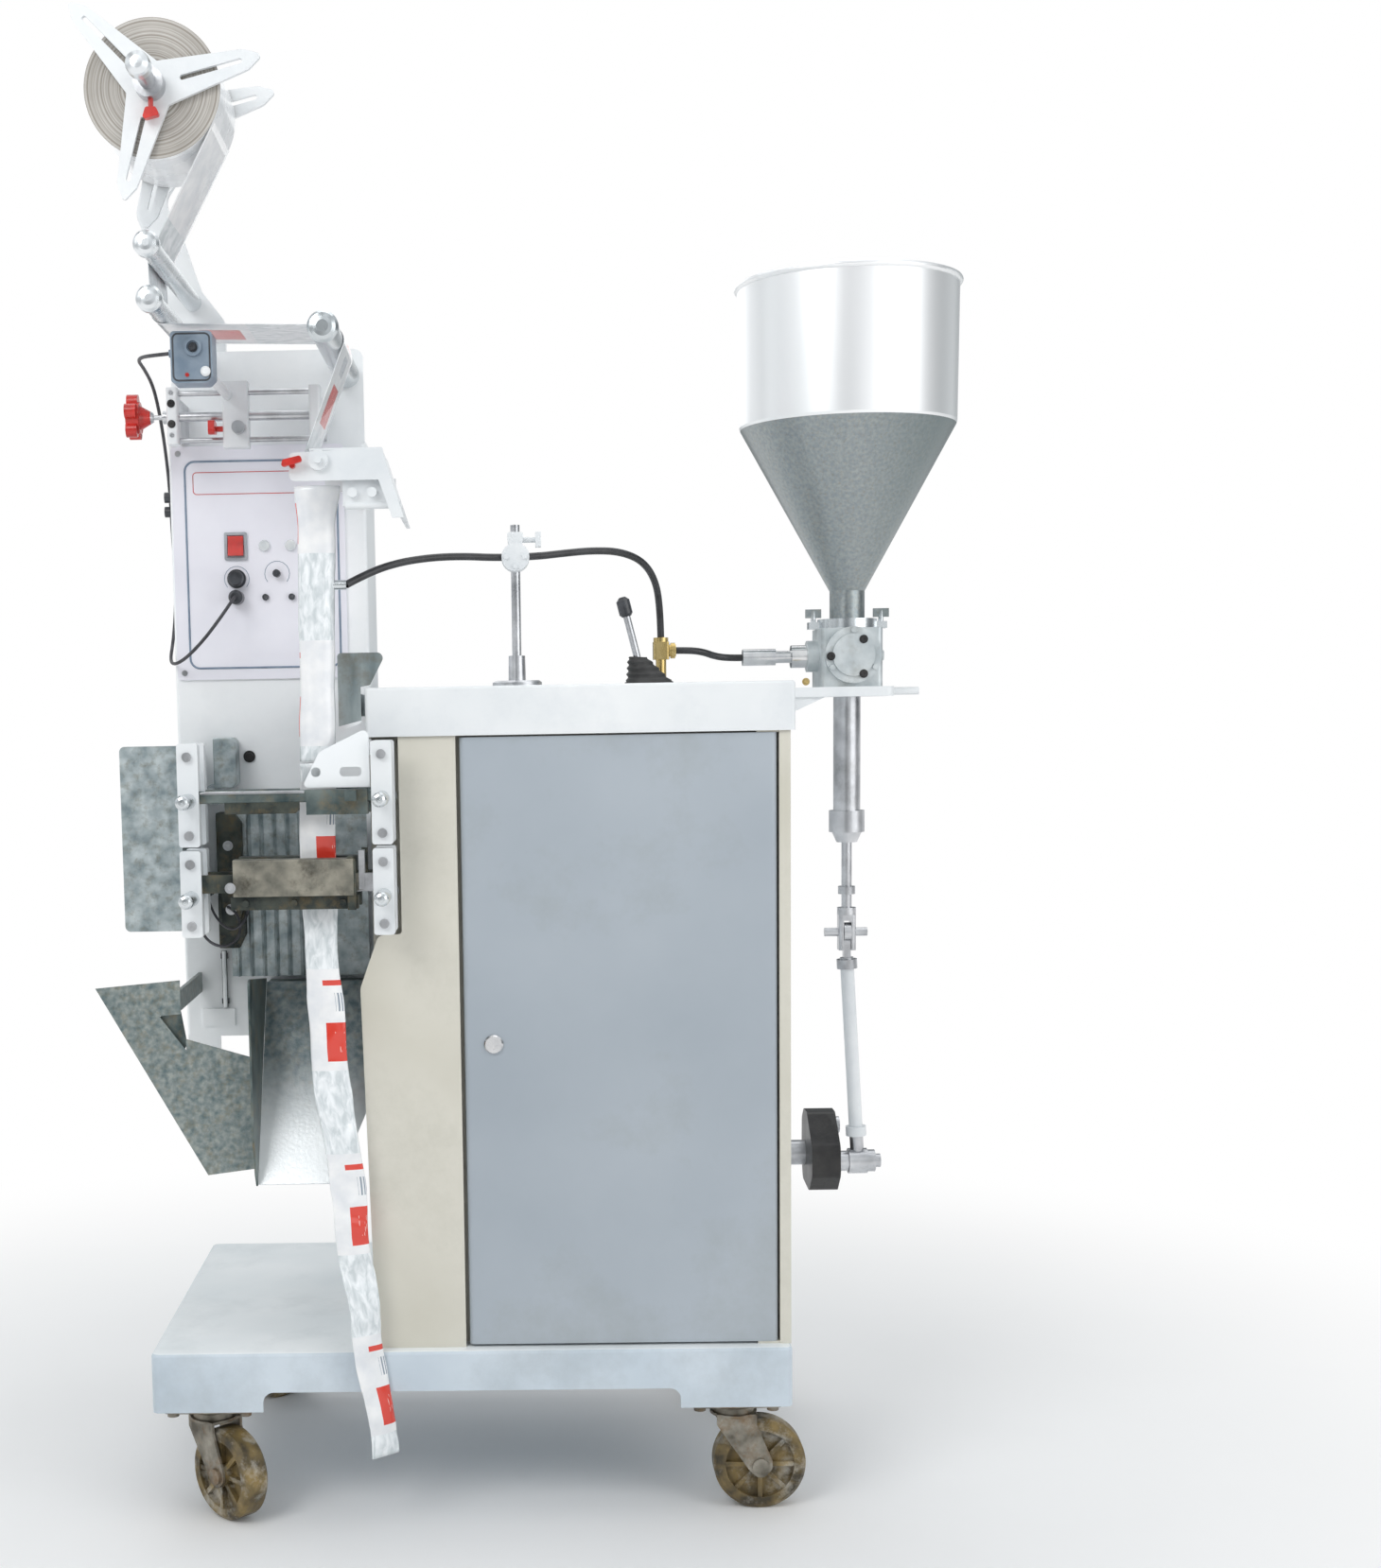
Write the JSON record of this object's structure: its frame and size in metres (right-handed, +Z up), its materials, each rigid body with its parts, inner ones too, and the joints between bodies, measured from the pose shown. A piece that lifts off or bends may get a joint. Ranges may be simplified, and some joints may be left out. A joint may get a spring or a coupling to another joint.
{
  "type": "liquid form fill seal machine",
  "caption": "Wheeled machine that folds film from a roll into a sleeve, fills it with liquid from a hopper pump and seals it into pouches.",
  "frame": {"origin": "on the floor under the middle of the trolley platform", "axes": "+Z up; -Y towards the operator and the film; +X to the operator's right, towards the hopper"},
  "size_m": [0.9686, 0.6203, 1.5895],
  "materials": {
    "platform_paint": "pale blue-grey gloss paint",
    "zinc": "zinc-plated steel",
    "wheel": "white hub, stained yellow-brown tread",
    "white_paint": "white powder coat",
    "cream_paint": "cream powder coat",
    "lilac_paint": "pale blue-grey powder coat",
    "lock": "polished lock",
    "panel_plate": "pale printed plate with a blue-grey line",
    "red_plastic": "red",
    "dark_plastic": "black",
    "cable": "dark cable sheath",
    "steel": "machined steel",
    "polished": "polished stainless steel",
    "guard": "steel-blue galvanised sheet",
    "film": "white film with red blocks",
    "sensor": "steel-blue housing",
    "hose": "black hose",
    "brass": "bright brass",
    "boot": "black bellows",
    "black_iron": "black enamel",
    "motor": "grey-blue enamel",
    "cast": "machined cast iron",
    "belt": "black rubber"
  },
  "bodies": {
    "machine": {"base_platform": "platform_paint", "caster_plates": "zinc", "cabinet_body": "cream_paint", "cabinet_cover": "white_paint", "front_panel": "cream_paint", "column_body": "white_paint", "control_panel": "panel_plate", "sensor_cable": "cable", "spindle_arm": "white_paint", "sensor_slide": "steel", "film_web": "film", "film_former": "polished", "fill_tube": "polished", "film_guides": "polished", "guide_rods": "polished", "jaw_guards": "guard", "discharge_chute": "guard", "hose_stand": "steel", "hose_elbow": "brass", "fill_hose": "hose", "feed_hose": "hose", "lever_boot": "boot", "hopper": "polished", "valve_body": "polished", "pump_bracket": "white_paint", "pump_cylinder": "steel", "gear_motor": "motor", "v_belt": "belt", "shaft_bearings": "cast"},
    "fork_front_left": {"caster_fork_front_left": "zinc"},
    "wheel_front_left": {"caster_wheel_front_left": "wheel"},
    "fork_front_right": {"caster_fork_front_right": "zinc"},
    "wheel_front_right": {"caster_wheel_front_right": "wheel"},
    "fork_back_left": {"caster_fork_back_left": "zinc"},
    "wheel_back_left": {"caster_wheel_back_left": "wheel"},
    "fork_back_right": {"caster_fork_back_right": "zinc"},
    "wheel_back_right": {"caster_wheel_back_right": "wheel"},
    "door": {"cabinet_door": "lilac_paint"},
    "lock": {"door_lock": "lock"},
    "rocker_switch": {"power_rocker": "red_plastic"},
    "speed_dial": {"speed_knob": "dark_plastic"},
    "pot_dial": {"pot_knob": "dark_plastic"},
    "spindle": {"film_spindle": "steel", "film_roll": "film"},
    "roller_1": {"guide_roller_1": "polished"},
    "roller_2": {"guide_roller_2": "polished"},
    "roller_3": {"guide_roller_3": "polished"},
    "screw": {"adjust_screw": "red_plastic"},
    "carriage": {"sensor_carriage": "steel", "photo_sensor": "sensor"},
    "seam_front": {"seam_bar_front": "steel"},
    "seam_rear": {"seam_bar_rear": "steel"},
    "seal_front": {"jaw_front": "steel"},
    "seal_rear": {"jaw_rear": "steel"},
    "lever": {"clutch_lever": "steel"},
    "rocker": {"rocker_arm": "black_iron"},
    "rod": {"con_rod": "steel"},
    "piston": {"piston_rod": "steel"},
    "drive_pulley": {"motor_pulley": "cast"},
    "cams": {"cam_shaft": "cast"}
  },
  "joints": [
    {"name": "swivel_front_left", "type": "hinge", "parent": "machine", "child": "fork_front_left", "pos_m": [-0.29, -0.185, 0.11], "axis": [0, 0, 1], "continuous": true},
    {"name": "roll_front_left", "type": "hinge", "parent": "fork_front_left", "child": "wheel_front_left", "pos_m": [-0.2702, -0.2048, 0.051], "axis": [0.7071, 0.7071, 0], "continuous": true},
    {"name": "swivel_front_right", "type": "hinge", "parent": "machine", "child": "fork_front_right", "pos_m": [0.29, -0.185, 0.11], "axis": [0, 0, 1], "continuous": true},
    {"name": "roll_front_right", "type": "hinge", "parent": "fork_front_right", "child": "wheel_front_right", "pos_m": [0.318, -0.185, 0.051], "axis": [0, 1, 0], "continuous": true},
    {"name": "swivel_back_left", "type": "hinge", "parent": "machine", "child": "fork_back_left", "pos_m": [-0.29, 0.185, 0.11], "axis": [0, 0, 1], "continuous": true},
    {"name": "roll_back_left", "type": "hinge", "parent": "fork_back_left", "child": "wheel_back_left", "pos_m": [-0.26706, 0.20106, 0.051], "axis": [-0.5736, 0.8192, 0], "continuous": true},
    {"name": "swivel_back_right", "type": "hinge", "parent": "machine", "child": "fork_back_right", "pos_m": [0.29, 0.185, 0.11], "axis": [0, 0, 1], "continuous": true},
    {"name": "roll_back_right", "type": "hinge", "parent": "fork_back_right", "child": "wheel_back_right", "pos_m": [0.31739, 0.17918, 0.051], "axis": [0.2079, 0.9781, 0], "continuous": true},
    {"name": "door_swing", "type": "hinge", "parent": "machine", "child": "door", "pos_m": [0.328, -0.212, 0.53], "axis": [0, 0, 1], "range_deg": [0, 95]},
    {"name": "lock_turn", "type": "hinge", "parent": "door", "child": "lock", "pos_m": [0.0305, -0.22, 0.53], "axis": [0, 1, 0], "range_deg": [0, 90]},
    {"name": "rocker_tilt", "type": "hinge", "parent": "machine", "child": "rocker_switch", "pos_m": [-0.251, -0.08, 1.076], "axis": [1, 0, 0], "range_deg": [0, 18]},
    {"name": "speed_turn", "type": "hinge", "parent": "machine", "child": "speed_dial", "pos_m": [-0.251, -0.078, 1.04], "axis": [0, -1, 0], "range_deg": [0, 270]},
    {"name": "pot_turn", "type": "hinge", "parent": "machine", "child": "pot_dial", "pos_m": [-0.2055, -0.078, 1.045], "axis": [0, -1, 0], "range_deg": [0, 270]},
    {"name": "spindle_spin", "type": "hinge", "parent": "machine", "child": "spindle", "pos_m": [-0.292, -0.24, 1.508], "axis": [0, 1, 0], "continuous": true},
    {"name": "roller_1_spin", "type": "hinge", "parent": "machine", "child": "roller_1", "pos_m": [-0.291, -0.24, 1.343], "axis": [0, 1, 0], "continuous": true},
    {"name": "roller_2_spin", "type": "hinge", "parent": "machine", "child": "roller_2", "pos_m": [-0.29, -0.24, 1.291], "axis": [0, 1, 0], "continuous": true},
    {"name": "roller_3_spin", "type": "hinge", "parent": "machine", "child": "roller_3", "pos_m": [-0.122, -0.24, 1.261], "axis": [0, 1, 0], "continuous": true},
    {"name": "screw_turn", "type": "hinge", "parent": "machine", "child": "screw", "pos_m": [-0.347, -0.14, 1.21], "axis": [1, 0, 0], "range_deg": [-539, 719]},
    {"name": "seam_front_close", "type": "slide", "parent": "machine", "child": "seam_front", "axis": [0, 1, 0], "range_m": [0, 0.012]},
    {"name": "seam_rear_close", "type": "slide", "parent": "machine", "child": "seam_rear", "axis": [0, 1, 0], "range_m": [-0.012, 0]},
    {"name": "seal_front_close", "type": "slide", "parent": "machine", "child": "seal_front", "axis": [0, 1, 0], "range_m": [0, 0.012]},
    {"name": "seal_rear_close", "type": "slide", "parent": "machine", "child": "seal_rear", "axis": [0, 1, 0], "range_m": [-0.012, 0]},
    {"name": "lever_tilt", "type": "hinge", "parent": "machine", "child": "lever", "pos_m": [0.209, -0.1, 0.892], "axis": [0, 1, 0], "range_deg": [0, 28], "deforming": ["lever_boot"]},
    {"name": "rocker_swing", "type": "hinge", "parent": "machine", "child": "rocker", "pos_m": [0.4, 0.04878, 0.348], "axis": [1, 0, 0], "range_deg": [-18, 18]},
    {"name": "rod_swing", "type": "hinge", "parent": "rocker", "child": "rod", "pos_m": [0.458, -0.00122, 0.348], "axis": [1, 0, 0], "range_deg": [-18, 18]},
    {"name": "piston_slide", "type": "slide", "parent": "machine", "child": "piston", "axis": [0, 0, -1], "range_m": [-0.01581, 0.01581]},
    {"name": "cam_spin", "type": "hinge", "parent": "machine", "child": "cams", "pos_m": [0, 0.05, 0.56], "axis": [1, 0, 0], "continuous": true},
    {"name": "pulley_spin", "type": "hinge", "parent": "machine", "child": "drive_pulley", "pos_m": [0.12, 0.09, 0.275], "axis": [1, 0, 0], "continuous": true},
    {"name": "carriage_shift", "type": "slide", "parent": "machine", "child": "carriage", "axis": [1, 0, 0], "range_m": [-0.03, 0.04], "deforming": ["sensor_cable"]}
  ],
  "couplings": [
    {"joint": "seam_rear_close", "follows": "seam_front_close", "ratio": -1},
    {"joint": "seal_rear_close", "follows": "seal_front_close", "ratio": -1},
    {"joint": "rod_swing", "follows": "rocker_swing", "ratio": -1},
    {"joint": "piston_slide", "follows": "rocker_swing", "m_per_rad": 0.05},
    {"joint": "pulley_spin", "follows": "cam_spin", "ratio": 4},
    {"joint": "carriage_shift", "follows": "screw_turn", "m_per_rad": 0.0031831}
  ]
}
